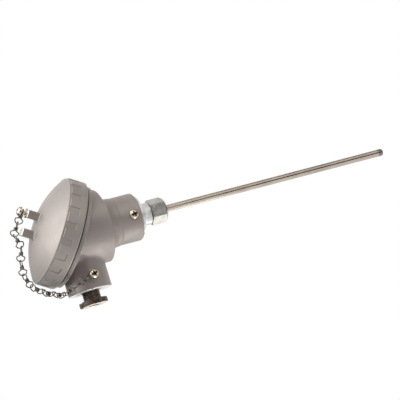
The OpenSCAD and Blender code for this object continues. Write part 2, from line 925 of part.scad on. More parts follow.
// One brass terminal: a lead enters from the middle and a cable core from outside
module terminal(index) {
    color("#cba24a")
    rotate(terminal_angles[index])
        translate([terminal_radius, 0, terminal_z])
            difference() {
                translate([-terminal_size.x / 2, -terminal_size.y / 2, 0])
                    cube(terminal_size);
                translate([-terminal_size.x, 0, lead_hole_z - terminal_z])
                    rotate([0, 90, 0])
                        cylinder(d = lead_d + 0.6, h = terminal_size.x * 2, $fn = 32);
                for (side = [-1, 1])
                    translate([side * terminal_screw_offset, 0, terminal_size.z - 2.4])
                        cylinder(d = terminal_screw_d + 0.1, h = 3, $fn = 32);
            }
}
module terminal_1() terminal(0);
module terminal_2() terminal(1);
module terminal_3() terminal(2);

// The two clamping screws of every terminal
module terminal_screws() {
    color("#c9c4b8")
    for (angle = terminal_angles)
        rotate(angle)
            for (side = [-1, 1])
                translate([terminal_radius + side * terminal_screw_offset, 0,
                    terminal_z + terminal_size.z])
                    slotted_screw(terminal_screw_d, terminal_grip, terminal_head_d,
                        terminal_head_height);
}

// A cheese-head screw with one slot
module slotted_screw(d, length, head_d, head_height) {
    difference() {
        union() {
            cylinder(d = head_d, h = head_height, $fn = 48);
            translate([0, 0, -length])
                cylinder(d = d, h = length + 0.01, $fn = 32);
        }
        translate([-head_d, -head_d * 0.08, head_height * 0.55])
            cube([2 * head_d, head_d * 0.16, head_height]);
    }
}

// The two screws that hold the ceramic block on the bowl's floor
module block_screws() {
    color("#c9c4b8")
    for (side = [-1, 1])
        translate([0, side * block_screw_pitch / 2, block_top_z - 3])
            slotted_screw(block_screw_d, block_height - 3 + block_screw_depth - 0.4,
                block_screw_head_d, 2.6);
}

// The earthing screw in the bowl's floor
module earth_screw() {
    color("#c9c4b8")
    translate([earth_radius, 0, floor_z])
        slotted_screw(earth_screw_d, block_screw_depth - 0.4, chamber_r - block_d / 2 - 0.7, 2.2);
}

// The hand-turned gland screw with its lobed grip
module gland_nut() {
    scallop_r = gland_grip_d * 0.2;
    grip_start = boss_reach + gland_standoff;
    color("#5b5048")
    on_boss_axis()
        difference() {
            union() {
                translate([0, 0, -gland_stop_x])
                    cylinder(d = gland_stem_d, h = gland_engaged + gland_standoff + 0.01);
                translate([0, 0, grip_start])
                    difference() {
                        rotate_extrude()
                            polygon([
                                [0, 0],
                                [gland_grip_d / 2 - bevel, 0],
                                [gland_grip_d / 2, bevel],
                                [gland_grip_d / 2, gland_grip_thickness - bevel],
                                [gland_grip_d / 2 - bevel, gland_grip_thickness],
                                [0, gland_grip_thickness]
                            ]);
                        for (i = [0:gland_lobes - 1])
                            rotate(90 + 360 * i / gland_lobes)
                                translate([gland_grip_d / 2 + scallop_r * 0.45, 0, -over])
                                    cylinder(r = scallop_r, h = gland_grip_thickness + 2 * over);
                    }
            }
            translate([0, 0, -gland_stop_x - over])
                cylinder(d = cable_hole_d, h = gland_engaged + gland_standoff
                    + gland_grip_thickness + 2 * over);
        }
}

// The metal ring that presses on the rubber
module gland_washer() {
    color("#b9b4ac")
    on_boss_axis()
        translate([0, 0, -gland_washer_x])
            washer(gland_stem_d, cable_hole_d + 0.6, gland_washer_thickness);
}

// The rubber ring that grips the cable
module gland_grommet() {
    color("#2b2b2b")
    on_boss_axis()
        translate([0, 0, -grommet_x])
            washer(gland_stem_d, cable_hole_d + 0.4, grommet_length);
}

head_body();
lid();
lid_gasket();
lug_screw();
lug_washers();
retaining_chain();
chain_anchor_screw();
chain_anchor_washer();
neck_set_screw();
neck_washer();
fitting_body();
fitting_nut();
thrust_washer();
ferrule();
probe_sheath();
mineral_fill();
rtd_element();
transition_sleeve();
lead_wire_1();
lead_wire_2();
lead_wire_3();
terminal_block();
terminal_1();
terminal_2();
terminal_3();
terminal_screws();
block_screws();
earth_screw();
gland_nut();
gland_washer();
gland_grommet();
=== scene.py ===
import math

import bpy
import numpy as np
from mathutils import Matrix


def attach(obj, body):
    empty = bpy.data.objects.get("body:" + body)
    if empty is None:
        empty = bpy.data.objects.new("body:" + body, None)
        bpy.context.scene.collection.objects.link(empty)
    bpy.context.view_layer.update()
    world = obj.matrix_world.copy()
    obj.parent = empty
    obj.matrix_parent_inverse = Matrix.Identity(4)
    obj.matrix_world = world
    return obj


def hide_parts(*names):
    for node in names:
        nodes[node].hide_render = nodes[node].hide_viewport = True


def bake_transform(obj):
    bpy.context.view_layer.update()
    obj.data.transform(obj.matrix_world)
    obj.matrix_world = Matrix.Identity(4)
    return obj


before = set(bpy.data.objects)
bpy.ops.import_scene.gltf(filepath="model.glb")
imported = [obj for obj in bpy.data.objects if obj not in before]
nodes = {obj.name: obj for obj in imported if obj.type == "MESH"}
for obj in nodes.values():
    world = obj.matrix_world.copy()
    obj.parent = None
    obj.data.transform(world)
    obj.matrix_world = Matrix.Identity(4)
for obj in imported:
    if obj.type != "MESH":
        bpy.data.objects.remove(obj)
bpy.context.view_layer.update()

# --- Head casting -------------------------------------------------------------------------
# The head is one aluminium pressure casting: neck, hollow shoulder, bowl, cable entry boss and
# the slanted flange that carries the lid. It is trimmed, machined at the boss end and on the
# thread, and stoved with a warm silver-grey enamel that has a slight orange peel.

neck_foot, flare_foot, shoulder_foot, bowl_foot, chamber_floor = 26.9, 45.4, 48.2, 58.2, 62.3
neck_radius, neck_flare, bowl_radius, chamber_radius, mouth_radius = 20.0, 0.5, 30.5, 27.0, 35.0
hollow_radius, hollow_reach = 10.5, 31.0
boss_axis_height, boss_radius, boss_reach = 83.1, 18.5, 50.7
lid_centre = np.array([-1.8, 0.0, 86.7])
lid_lean = math.radians(31)
lid_up = np.array([math.sin(lid_lean), 0.0, math.cos(lid_lean)])
lid_side = np.array([math.cos(lid_lean), 0.0, -math.sin(lid_lean)])
flange_radius, flange_low, flange_high = 43.0, -4.3, -0.5
thread_root, thread_crest, thread_end, thread_pitch = 39.9, 40.9, 10.3, 2.0
stem_hole, stem_depth, lead_hole = 10.1, 16.4, 5.6
entry_hole, entry_seat, cable_hole = 7.8, 33.0, 5.5
lock_screw_height, lock_hole = neck_foot + 7.2, 2.1
anchor_reach, anchor_hole, anchor_floor = 39.0, 1.85, 11.0
block_screw_reach, block_hole, earth_reach, earth_hole, pilot_foot = 16.5, 2.1, 24.0, 1.35, 59.3


def melt(a, b, fillet):
    """The smaller of two distances, with the crease between them filled to a radius."""
    share = np.clip(0.5 + 0.5 * (b - a) / fillet, 0, 1)
    return b + (a - b) * share - fillet * share * (1 - share)


def meet(a, b, ease):
    """The larger of two distances, with the edge between them rounded over."""
    return -melt(-a, -b, ease)


def cut(a, b, ease):
    """What is in a and not in b, with the edge between them eased."""
    return meet(a, -b, ease)


def drum(across, along, radius, low, high, ease):
    """Distance to a round drum with eased edges, from the distance across and along its axis."""
    x = across - radius + ease
    y = np.abs(along - (low + high) / 2) - (high - low) / 2 + ease
    return np.hypot(np.maximum(x, 0), np.maximum(y, 0)) + np.minimum(np.maximum(x, y), 0) - ease


def casting_distance(p):
    """Distance in millimetres from points to the casting's skin, negative in the metal: a turned
    neck and bowl, the boss and the flange melted together, less the chamber and the bores."""
    x, y, z = p[:, 0], p[:, 1], p[:, 2]
    r = np.hypot(x, y)
    sweep = np.clip(z - shoulder_foot, 0.1 - hollow_radius, hollow_radius - 0.1)
    rest = np.sqrt(hollow_radius ** 2 - sweep ** 2)
    flare = neck_flare * np.clip((z - flare_foot) / (shoulder_foot - flare_foot), 0, 1)
    shoulder = np.where(z > bowl_foot, bowl_radius, np.minimum(hollow_reach - rest, bowl_radius))
    radius = np.where(z < shoulder_foot, neck_radius + flare, shoulder)
    lean = np.where((z > shoulder_foot) & (z < bowl_foot + 0.3), sweep / rest, 0)
    wall = (r - radius) / np.sqrt(1 + np.minimum(lean, 3) ** 2)
    q = p - lid_centre
    along = q @ lid_up
    across = np.linalg.norm(q - along[:, None] * lid_up, axis=1)
    body = -melt(-wall, z - neck_foot, 0.8)
    body = np.maximum(body, along - flange_low - 0.2)
    boss = drum(np.hypot(y, z - boss_axis_height), -x, boss_radius, 18.0, boss_reach, 0.5)
    flange = drum(across, along, flange_radius, flange_low, flange_high, 0.5)
    collar = drum(across, along, thread_root, flange_low, thread_end, 0.3)
    metal = melt(melt(body, boss, 2.4), np.minimum(flange, collar), 1.2)
    chamber = np.maximum(drum(r, z, chamber_radius, chamber_floor, 140.0, 1.5), along + 0.5)
    from_entry = np.hypot(y, z - boss_axis_height)
    from_anchor = np.hypot(x + anchor_reach, z - boss_axis_height)
    holes = [drum(across, along, mouth_radius, -1.0, 30.0, 0.2),
             drum(r, z, stem_hole, neck_foot - 5, neck_foot + stem_depth, 0.2),
             drum(r, z, lead_hole, neck_foot - 5, chamber_floor + 5, 0.1),
             drum(from_entry, -x, entry_hole, entry_seat, 60.0, 0.2),
             drum(from_entry, -x, cable_hole, 0.0, 60.0, 0.2),
             drum(np.hypot(x, z - lock_screw_height), -y, lock_hole, 0.0, 40.0, 0.1),
             drum(from_anchor, -y, anchor_hole, anchor_floor, 40.0, 0.1),
             drum(np.hypot(x, np.abs(y) - block_screw_reach), z, block_hole, pilot_foot, 70.0, 0.1),
             drum(np.hypot(x - earth_reach, y), z, earth_hole, pilot_foot, 70.0, 0.1)]
    return cut(metal, np.minimum.reduce([chamber] + holes), 0.35)


def surface_net(distance, low, high, step):
    """The zero surface of a distance: one point in each cell that it crosses, four cells round
    each crossed edge joined by a face, and every point drawn onto the surface along the slope."""
    axes = [np.arange(a, b + step, step) for a, b in zip(low, high)]
    corner = np.stack(np.meshgrid(*axes, indexing="ij"), -1)
    shape = corner.shape[:3]
    inside = distance(corner.reshape(-1, 3)).reshape(shape) < 0
    cells = tuple(n - 1 for n in shape)
    count = np.zeros(cells, int)
    for i in (0, 1):
        for j in (0, 1):
            for k in (0, 1):
                count += inside[i:i + cells[0], j:j + cells[1], k:k + cells[2]]
    number = np.full(cells, -1)
    crossed = (count > 0) & (count < 8)
    number[crossed] = np.arange(crossed.sum())
    points = corner[:-1, :-1, :-1][crossed] + step / 2
    faces = []
    for a in range(3):
        b, c = (a + 1) % 3, (a + 2) % 3
        near, far = [slice(1, -1)] * 3, [slice(1, -1)] * 3
        near[a], far[a] = slice(0, -1), slice(1, None)
        here, there = inside[tuple(near)], inside[tuple(far)]
        at = np.argwhere(here != there) + (np.arange(3) != a)
        out = here[here != there]
        ring = []
        for db, dc in ((0, 0), (1, 0), (1, 1), (0, 1)):
            cell = at.copy()
            cell[:, b] -= db
            cell[:, c] -= dc
            ring.append(number[tuple(cell.T)])
        quad = np.stack(ring, 1)
        quad[~out] = quad[~out][:, ::-1]
        faces.append(quad)
    faces = np.concatenate(faces)
    probe = np.eye(3) * 0.02
    for turn in range(8):
        if turn < 5:
            total, share = np.zeros_like(points), np.zeros(len(points))
            for k in range(4):
                np.add.at(total, faces[:, k], points[faces].mean(1))
                np.add.at(share, faces[:, k], 1)
            points = total / share[:, None]
        for _ in range(2):
            value = distance(points)
            slope = np.stack([distance(points + e) - distance(points - e) for e in probe], 1) / 0.04
            size = np.maximum((slope ** 2).sum(1), 0.2)
            points = points - np.clip(value / size, -step, step)[:, None] * slope
    return points, faces, slope / np.sqrt(size)[:, None]


def new_piece(name, points, faces, material, body, normals=None):
    """A mesh from points in millimetres and faces, with its material and body."""
    mesh = bpy.data.meshes.new(name)
    mesh.from_pydata((np.asarray(points) / 1000).tolist(), [], [list(face) for face in faces])
    mesh.polygons.foreach_set("use_smooth", [True] * len(mesh.polygons))
    if normals is not None:
        mesh.normals_split_custom_set_from_vertices(np.asarray(normals).tolist())
    mesh.materials.append(material)
    mesh.update()
    piece = bpy.data.objects.new(name, mesh)
    bpy.context.scene.collection.objects.link(piece)
    if body:
        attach(piece, body)
    return piece


def new_material(name, colour, metallic, roughness):
    """A material with its Principled shader, and the shader's node tree for what is added."""
    material = bpy.data.materials.new(name)
    material.use_nodes = True
    tree = material.node_tree
    shader = tree.nodes["Principled BSDF"]
    shader.inputs["Base Color"].default_value = (*colour, 1)
    shader.inputs["Metallic"].default_value = metallic
    shader.inputs["Roughness"].default_value = roughness
    return material, tree, shader


def new_effect(name, inputs, outputs):
    """An empty node group with named number inputs and outputs, and its two end nodes."""
    group = bpy.data.node_groups.new(name, "ShaderNodeTree")
    group.interface.new_socket("Point", in_out="INPUT", socket_type="NodeSocketVector")
    for label, value in inputs.items():
        socket = group.interface.new_socket(label, in_out="INPUT", socket_type="NodeSocketFloat")
        socket.default_value = value
    for label, kind in outputs.items():
        group.interface.new_socket(label, in_out="OUTPUT", socket_type=kind)
    return group, group.nodes.new("NodeGroupInput"), group.nodes.new("NodeGroupOutput")


def noise(tree, point, scale, detail, roughness=0.5):
    """The value socket of a noise texture that reads a point socket."""
    node = tree.nodes.new("ShaderNodeTexNoise")
    node.inputs["Scale"].default_value = scale
    node.inputs["Detail"].default_value = detail
    node.inputs["Roughness"].default_value = roughness
    tree.links.new(point, node.inputs["Vector"])
    return node.outputs["Fac"]


def ramp(tree, value, low, high, start=0.0, end=1.0):
    """A Map Range node from low..high to start..end, smooth and clamped."""
    node = tree.nodes.new("ShaderNodeMapRange")
    node.interpolation_type = "SMOOTHSTEP"
    for label, number in zip(("From Min", "From Max", "To Min", "To Max"), (low, high, start, end)):
        node.inputs[label].default_value = number
    tree.links.new(value, node.inputs["Value"])
    return node.outputs["Result"]


def blend_colours(tree, share, first, second):
    """A Mix node between two colours or colour sockets."""
    node = tree.nodes.new("ShaderNodeMix")
    node.data_type = "RGBA"
    tree.links.new(share, node.inputs["Factor"])
    for label, colour in (("A", first), ("B", second)):
        socket = [s for s in node.inputs if s.name == label and s.type == "RGBA"][0]
        if isinstance(colour, tuple):
            socket.default_value = (*colour, 1)
        else:
            tree.links.new(colour, socket)
    return [s for s in node.outputs if s.type == "RGBA"][0]


def coloured(tree, shader, share, first, second):
    """A blend of two colours for the shader's base colour."""
    tree.links.new(blend_colours(tree, share, first, second), shader.inputs["Base Color"])


def roughened(tree, shader, value, *limits):
    """A ramp of a value for the shader's roughness."""
    tree.links.new(ramp(tree, value, *limits), shader.inputs["Roughness"])


def bumped(tree, shader, height, strength, distance):
    """A Bump node between a height and the shader's normal."""
    node = tree.nodes.new("ShaderNodeBump")
    node.inputs["Strength"].default_value = strength
    node.inputs["Distance"].default_value = distance
    tree.links.new(height, node.inputs["Height"])
    tree.links.new(node.outputs["Normal"], shader.inputs["Normal"])


def object_point(tree):
    """The Object coordinates socket of a new Texture Coordinate node."""
    return tree.nodes.new("ShaderNodeTexCoord").outputs["Object"]


def enamel_effect():
    """Orange peel, flakes and handling marks of stoved enamel, from Object coordinates."""
    group, ins, outs = new_effect("stoved_enamel", {"Peel": 1.0, "Flake": 1.0},
                                  {"Height": "NodeSocketFloat", "Tone": "NodeSocketFloat",
                                   "Gloss": "NodeSocketFloat"})
    point = ins.outputs["Point"]
    peel = noise(group, point, 900, 3)
    flake = noise(group, point, 5200, 1)
    cloud = noise(group, point, 38, 4, 0.6)
    rub = noise(group, point, 120, 6, 0.65)
    height = group.nodes.new("ShaderNodeMath")
    height.operation = "MULTIPLY"
    group.links.new(peel, height.inputs[0])
    group.links.new(ins.outputs["Peel"], height.inputs[1])
    grain = group.nodes.new("ShaderNodeMath")
    grain.operation = "MULTIPLY_ADD"
    group.links.new(flake, grain.inputs[0])
    grain.inputs[1].default_value = 0.35
    group.links.new(height.outputs[0], grain.inputs[2])
    group.links.new(grain.outputs[0], outs.inputs["Height"])
    mixed = group.nodes.new("ShaderNodeMath")
    mixed.operation = "MULTIPLY_ADD"
    group.links.new(flake, mixed.inputs[0])
    group.links.new(ins.outputs["Flake"], mixed.inputs[1])
    group.links.new(cloud, mixed.inputs[2])
    group.links.new(ramp(group, mixed.outputs[0], 0.6, 1.4), outs.inputs["Tone"])
    group.links.new(ramp(group, rub, 0.35, 0.7), outs.inputs["Gloss"])
    return group


enamel_group = enamel_effect()


def enamel(name, light, dark):
    """Silver-grey enamel between two tones, turning to near-white unpainted metal, partly a painted
    highlight, where the piece is marked so.
    """
    material, tree, shader = new_material(name, light, 0.35, 0.48)
    point = object_point(tree)
    effect = tree.nodes.new("ShaderNodeGroup")
    effect.node_tree = enamel_group
    effect.inputs["Flake"].default_value = 0.5
    tree.links.new(point, effect.inputs["Point"])
    painted = blend_colours(tree, effect.outputs["Tone"], dark, light)
    roughened(tree, shader, effect.outputs["Gloss"], 0, 1, 0.44, 0.54)
    # Marked places turn to near-white unpainted metal, whose brightness is partly a painted highlight.
    bare_and_highlight = tree.nodes.new("ShaderNodeAttribute")
    bare_and_highlight.attribute_name = "bare_and_highlight"
    coloured(tree, shader, bare_and_highlight.outputs["Fac"], painted, (0.86, 0.85, 0.83))
    tree.links.new(ramp(tree, bare_and_highlight.outputs["Fac"], 0, 1, 0.35, 1.0), shader.inputs["Metallic"])
    bumped(tree, shader, effect.outputs["Height"], 0.22, 0.00006)
    return material


def mark(piece, name, values):
    """A number from 0 to 1 on every point of a piece, for its shader."""
    attribute = piece.data.attributes.new(name, "FLOAT", "POINT")
    attribute.data.foreach_set("value", np.clip(values, 0, 1).astype(np.float32))


head_enamel = enamel("head_enamel", (0.385, 0.340, 0.318), (0.32, 0.280, 0.260))
points, faces, normals = surface_net(casting_distance, (-53, -46, 24), (45, 46, 134), 0.85)
head_casting = new_piece("head_casting", points, faces, head_enamel, "root", normals)
# The boss's end face is marked as near-white unpainted metal, partly a painted highlight.
mark(head_casting, "bare_and_highlight", (-points[:, 0] - boss_reach + 0.25) / 0.2)
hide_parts("head_body")


def closed_skin(rings):
    """Points and outward faces through a stack of rings, closed by a fan at each end. The rings
    run from the top of the outside down, each counterclockwise seen from above."""
    rows, columns = rings.shape[:2]
    number = np.arange(rows * columns).reshape(rows, columns)
    onward = np.roll(number, -1, 1)
    points = np.concatenate([rings.reshape(-1, 3), rings[0].mean(0)[None], rings[-1].mean(0)[None]])
    quads = np.stack([number[:-1], number[1:], onward[1:], onward[:-1]], -1).reshape(-1, 4)
    first, last = np.full(columns, rows * columns), np.full(columns, rows * columns + 1)
    fans = np.concatenate([np.stack([first, number[0], onward[0]], 1),
                           np.stack([last, onward[-1], number[-1]], 1)])
    return points, quads.tolist() + fans.tolist()


def from_lid(local):
    """Points given along the lid's own axes, brought into the object's frame."""
    return (lid_centre + local[..., :1] * lid_side + local[..., 1:2] * np.array([0.0, 1.0, 0.0])
            + local[..., 2:] * lid_up)


def thread_rings():
    """The collar's outside as rings down the lid's axis: the radius follows a rounded thread
    profile of the height less the share of a turn, and fades to the root at both ends."""
    turn = np.linspace(0, 2 * math.pi, 300, endpoint=False)
    height = np.linspace(thread_end - 0.4, 0.2, 76)[:, None]
    phase = height / thread_pitch - turn / (2 * math.pi)
    ridge = np.clip(0.5 + 0.9 * np.cos(2 * math.pi * phase), 0, 1)
    fade = np.clip((thread_end - 0.4 - height) / 1.2, 0, 1) * np.clip((height - 0.2) / 1.2, 0, 1)
    radius = thread_root + 0.05 + (thread_crest - thread_root - 0.05) * ridge * fade
    inner = np.array([[thread_root - 0.5, thread_end - 0.4], [thread_root - 0.5, 0.2]])
    radius = np.concatenate([np.full((1, 300), inner[0, 0]), radius, np.full((1, 300), inner[1, 0])])
    height = np.concatenate([inner[:1, 1:], height, inner[1:, 1:]]) + 0 * radius
    return from_lid(np.stack([radius * np.cos(turn), radius * np.sin(turn), height], -1))


def ring_faces(rings):
    """Points and outward faces of a skin whose last ring joins its first."""
    rows, columns = rings.shape[:2]
    number = np.arange(rows * columns).reshape(rows, columns)
    below, onward = np.roll(number, -1, 0), np.roll(number, -1, 1)
    quads = np.stack([number, below, np.roll(below, -1, 1), onward], -1).reshape(-1, 4)
    return rings.reshape(-1, 3), quads.tolist()


bare_alloy = enamel("bare_alloy", (0.62, 0.60, 0.58), (0.52, 0.50, 0.48))
points, faces = ring_faces(thread_rings())
new_piece("head_thread", points, faces, bare_alloy, "root")

# --- Fitting ------------------------------------------------------------------------------
# The compression fitting that carries the sheath: a turned body with barrel and collar, a
# hexagon nut and a thick washer under the neck, all steel with a bright zinc plating. The
# thrust washer and ferrule sit out of sight inside it.


def turned_effect():
    """Fine rings left by a lathe round the Z axis: noise read at (radius, height) alone, with a
    slow stain over it, from a point in metres."""
    group, ins, outs = new_effect("lathe_rings", {"Rings": 9000.0},
                                  {"Height": "NodeSocketFloat", "Stain": "NodeSocketFloat"})
    split = group.nodes.new("ShaderNodeSeparateXYZ")
    group.links.new(ins.outputs["Point"], split.inputs[0])
    flat = group.nodes.new("ShaderNodeCombineXYZ")
    group.links.new(split.outputs["X"], flat.inputs["X"])
    group.links.new(split.outputs["Y"], flat.inputs["Y"])
    length = group.nodes.new("ShaderNodeVectorMath")
    length.operation = "LENGTH"
    group.links.new(flat.outputs[0], length.inputs[0])
    pair = group.nodes.new("ShaderNodeCombineXYZ")
    group.links.new(length.outputs["Value"], pair.inputs["X"])
    group.links.new(split.outputs["Z"], pair.inputs["Y"])
    rings = group.nodes.new("ShaderNodeTexNoise")
    group.links.new(ins.outputs["Rings"], rings.inputs["Scale"])
    rings.inputs["Detail"].default_value = 2
    group.links.new(pair.outputs[0], rings.inputs["Vector"])
    stain = noise(group, ins.outputs["Point"], 140, 5, 0.6)
    group.links.new(rings.outputs["Fac"], outs.inputs["Height"])
    group.links.new(ramp(group, stain, 0.35, 0.68), outs.inputs["Stain"])
    return group


lathe_group = turned_effect()


def turned_metal(name, clean, stained, rough_low, rough_high, bump, metallic=1.0, turn=None):
    """Turned metal: two tones, roughness between two values, and ring-shaped tool marks.
    turn is a Mapping's location and rotation where the piece's axis isn't the Z axis."""
    material, tree, shader = new_material(name, clean, metallic, rough_low)
    point = object_point(tree)
    if turn is not None:
        mapping = tree.nodes.new("ShaderNodeMapping")
        mapping.vector_type = "TEXTURE"
        mapping.inputs["Location"].default_value = turn[0]
        mapping.inputs["Rotation"].default_value = turn[1]
        tree.links.new(point, mapping.inputs["Vector"])
        point = mapping.outputs[0]
    effect = tree.nodes.new("ShaderNodeGroup")
    effect.node_tree = lathe_group
    tree.links.new(point, effect.inputs["Point"])
    coloured(tree, shader, effect.outputs["Stain"], clean, stained)
    roughened(tree, shader, effect.outputs["Stain"], 0, 1, rough_low, rough_high)
    bumped(tree, shader, effect.outputs["Height"], bump, 0.00004)
    return material


def finish_nodes(material, *names):
    """Gives CAD nodes one material in place of their plain one."""
    for name in names:
        data = nodes[name].data
        data.materials.clear()
        data.materials.append(material)
        data.polygons.foreach_set("material_index", [0] * len(data.polygons))
        data.update()


fitting_zinc = turned_metal("fitting_zinc", (0.66, 0.66, 0.65), (0.52, 0.52, 0.50), 0.10, 0.2, 0.12)
# The nut's plating is a darker copy of the fitting's zinc: painted shade for the dark reflections in
# its flats.
nut_zinc_painted_dark = turned_metal("nut_zinc_painted_dark", (0.46, 0.455, 0.42), (0.36, 0.355, 0.32), 0.16, 0.26, 0.10)
finish_nodes(fitting_zinc, "fitting_body", "neck_washer")
finish_nodes(nut_zinc_painted_dark, "thrust_washer")
nut_flats, nut_height, nut_shank_radius, nut_top, nut_bore = 19.0, 14.4, 6.5, 22.8, 3.3
front_chamfer, front_rise, front_run = 8.1, 2.4, 2.87
back_chamfer, back_rise, back_run = 9.7, 0.7, 1.27


def nut_distance(p):
    """Distance to the nut: a hexagon between two chamfer cones with its edges rounded over,
    joined to the plain shank above it, less the bore for the sheath."""
    x, y, z = p[:, 0], p[:, 1], p[:, 2]
    r = np.hypot(x, y)
    flats = [np.abs(x * math.cos(a) + y * math.sin(a)) - nut_flats / 2
             for a in np.radians((30, 90, 150))]
    hexagon = meet(meet(flats[0], flats[1], 0.35), flats[2], 0.35)
    lower = ((r - front_chamfer) * front_rise - z * front_run) / math.hypot(front_rise, front_run)
    upper = (r - back_chamfer) * back_rise + (z - nut_height) * back_run
    upper = upper / math.hypot(back_rise, back_run)
    block = meet(meet(hexagon, lower, 0.3), upper, 0.25)
    block = meet(block, np.abs(z - nut_height / 2) - nut_height / 2, 0.25)
    shank = drum(r, z, nut_shank_radius, nut_height - 3, nut_top, 0.2)
    return cut(melt(block, shank, 0.3), drum(r, z, nut_bore, -5.0, nut_top + 5, 0.1), 0.25)


points, faces, normals = surface_net(nut_distance, (-12, -12, -1.1), (12, 12, 24), 0.42)
fitting_hexagon = new_piece("fitting_hexagon", points, faces, nut_zinc_painted_dark, "root",
                            normals)
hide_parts("fitting_nut")
ferrule_brass = turned_metal("ferrule_brass", (0.75, 0.56, 0.27), (0.60, 0.42, 0.19), 0.25, 0.4, 0.1)
finish_nodes(ferrule_brass, "ferrule")

# --- Sheath -------------------------------------------------------------------------------
# The probe itself: a 6 mm drawn stainless tube closed by a domed tip, packed with magnesia
# round the sensing element. Drawing leaves it satin, with long fine streaks and a warm tint, and
# the domed tip is painted dark grey, a painted dark reflection.
sheath_steel, tree, shader = new_material("sheath_steel", (0.56, 0.52, 0.47), 1.0, 0.3)
along = tree.nodes.new("ShaderNodeMapping")
along.inputs["Scale"].default_value = (1, 1, 0.02)
tree.links.new(object_point(tree), along.inputs["Vector"])
streak = noise(tree, along.outputs[0], 2600, 3)
haze = noise(tree, object_point(tree), 60, 4)
drawn = blend_colours(tree, ramp(tree, haze, 0.35, 0.65),
                      (0.58, 0.51, 0.44), (0.50, 0.43, 0.37))
split = tree.nodes.new("ShaderNodeSeparateXYZ")
tree.links.new(object_point(tree), split.inputs[0])
# The tip is painted dark grey: a painted dark reflection in its dome.
dark_tip = ramp(tree, split.outputs["Z"], -0.2004, -0.1984, 1.0, 0.0)
coloured(tree, shader, dark_tip, drawn, (0.24, 0.24, 0.245))
roughened(tree, shader, streak, 0.3, 0.7, 0.12, 0.22)
bumped(tree, shader, streak, 0.10, 0.00002)
finish_nodes(sheath_steel, "probe_sheath", "transition_sleeve")

magnesia, tree, shader = new_material("magnesia", (0.85, 0.84, 0.80), 0.0, 0.9)
powder = noise(tree, object_point(tree), 3000, 5)
coloured(tree, shader, powder, (0.75, 0.73, 0.68), (0.90, 0.89, 0.86))
bumped(tree, shader, powder, 0.4, 0.0001)
finish_nodes(magnesia, "mineral_fill", "rtd_element")

# --- Terminals and leads ------------------------------------------------------------------
# Inside the bowl a glazed ceramic ring holds three brass clamps, whose slotted screws take the
# three silicone-covered leads, two red and one white. Two screws and the earth screw hold it.
glaze, tree, shader = new_material("glazed_ceramic", (0.80, 0.77, 0.70), 0.0, 0.22)
fleck = noise(tree, object_point(tree), 700, 6, 0.7)
coloured(tree, shader, ramp(tree, fleck, 0.5, 0.75),
         (0.82, 0.79, 0.72), (0.62, 0.57, 0.48))
bumped(tree, shader, fleck, 0.1, 0.0001)
finish_nodes(glaze, "terminal_block")
terminal_brass = turned_metal("terminal_brass", (0.78, 0.60, 0.30), (0.60, 0.44, 0.20), 0.25, 0.4, 0.1)
finish_nodes(terminal_brass, "terminal_1", "terminal_2", "terminal_3")
screw_nickel = turned_metal("screw_nickel", (0.70, 0.66, 0.58), (0.50, 0.45, 0.36), 0.2, 0.36, 0.1)
finish_nodes(screw_nickel, "terminal_screws", "block_screws", "earth_screw")


def silicone(name, colour, shade):
    """Silicone lead insulation: soft, with a faint talc bloom."""
    material, tree, shader = new_material(name, colour, 0.0, 0.5)
    bloom = noise(tree, object_point(tree), 900, 4)
    coloured(tree, shader, bloom, shade, colour)
    bumped(tree, shader, bloom, 0.1, 0.00005)
    return material


finish_nodes(silicone("lead_red", (0.50, 0.03, 0.02), (0.40, 0.02, 0.015)),
             "lead_wire_1", "lead_wire_2")
finish_nodes(silicone("lead_white", (0.80, 0.79, 0.74), (0.68, 0.66, 0.60)), "lead_wire_3")

# --- Cable gland --------------------------------------------------------------------------
# A brass gland screw with a four-lobed hand grip, a mottled very dark brown that is partly its
# brownish tone and partly a painted dark reflection, but plain brass on its machined end, presses
# a washer on the rubber grommet in the entry.
# The gland's very dark brown is partly the brass's brownish tone and partly a painted dark reflection.
gland_brown, tree, shader = new_material("gland_brown", (0.05, 0.036, 0.028), 0.8, 0.4)
mottle = noise(tree, object_point(tree), 260, 6, 0.65)
dark_mottled = blend_colours(tree, ramp(tree, mottle, 0.38, 0.68),
                     (0.055, 0.041, 0.034), (0.15, 0.115, 0.09))
split = tree.nodes.new("ShaderNodeSeparateXYZ")
tree.links.new(object_point(tree), split.inputs[0])
faced = ramp(tree, split.outputs["X"], -0.0621, -0.0618, 1.0, 0.0)
coloured(tree, shader, faced, dark_mottled, (0.78, 0.71, 0.62))
roughened(tree, shader, mottle, 0.3, 0.7, 0.3, 0.5)
bumped(tree, shader, mottle, 0.2, 0.00008)
finish_nodes(screw_nickel, "gland_washer")
gland_start, grip_start, grip_end = 40.7, boss_reach + 7, boss_reach + 11.6
gland_radius, gland_pitch, gland_thread, gland_bore = 7.5, 1.5, 0.38, 4.8
grip_radius, scallop_reach, scallop_radius = 12.0, 14.16, 4.8


def gland_distance(p):
    """Distance to the gland screw: a stem with a rounded thread, whose radius is a cosine of the
    length less the share of a turn, and a grip disc with four scallops, less the cable hole."""
    along, y, z = -p[:, 0], p[:, 1], p[:, 2] - boss_axis_height
    r, turn = np.hypot(y, z), np.arctan2(z, y)
    wave = 0.5 - 0.5 * np.cos(2 * math.pi * along / gland_pitch - turn)
    fade = np.clip((grip_start - 0.8 - along) / 0.8, 0, 1)
    stem = drum(r + gland_thread * wave * fade, along, gland_radius, gland_start, grip_start + 2, 0.2)
    disc = drum(r, along, grip_radius, grip_start, grip_end, 0.7)
    quarter = (turn + math.pi / 4) % (math.pi / 2) - math.pi / 4
    scallop = np.hypot(r * np.cos(quarter) - scallop_reach, r * np.sin(quarter)) - scallop_radius
    grip = cut(disc, scallop, 0.8)
    return cut(melt(stem, grip, 0.9), drum(r, along, gland_bore, 30.0, 80.0, 0.1), 0.5)


